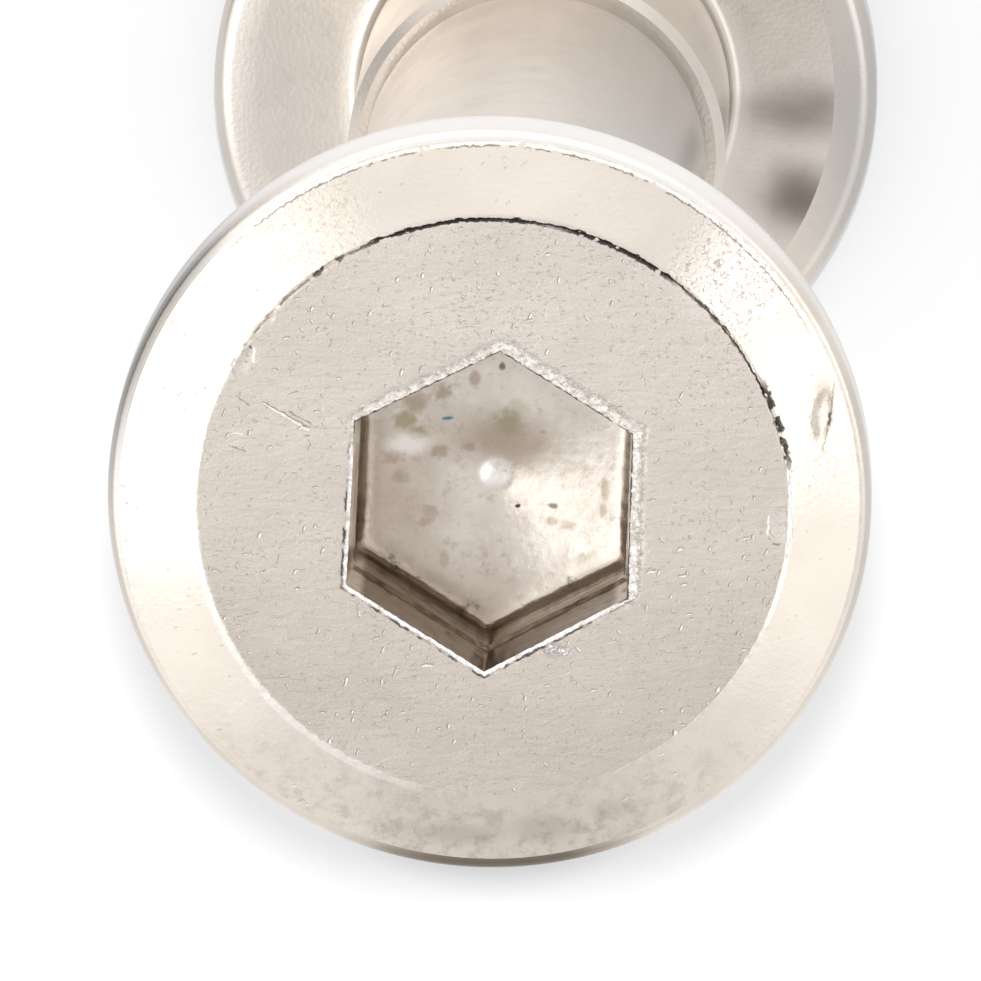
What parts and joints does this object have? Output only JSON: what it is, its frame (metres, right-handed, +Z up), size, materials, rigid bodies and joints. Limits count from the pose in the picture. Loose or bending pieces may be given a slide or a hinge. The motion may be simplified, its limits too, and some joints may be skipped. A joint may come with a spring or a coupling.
{
  "type": "skate axle bolt",
  "caption": "Two-piece steel axle for a skate wheel: a headed barrel with an inner thread and a headed screw that closes it, each driven by a hex key.",
  "frame": {"origin": "middle of the screw head's outer face, on which the axle stands", "axes": "+Z up the axle, from the screw's head to the barrel's head; +Y towards the corner of the barrel's socket that is nearest to it"},
  "size_m": [0.014, 0.014, 0.038],
  "materials": {
    "barrel_nickel": "worn satin nickel plate with fine pits, short scratches and brownish stains",
    "screw_nickel": "worn satin nickel plate, softly stained"
  },
  "bodies": {
    "screw": {"axle_screw": "screw_nickel"},
    "barrel": {"axle_barrel": "barrel_nickel"}
  },
  "joints": [
    {"name": "unscrewing", "type": "slide", "parent": "screw", "child": "barrel", "axis": [0, 0, 1], "range_m": [0, 0.013]}
  ]
}
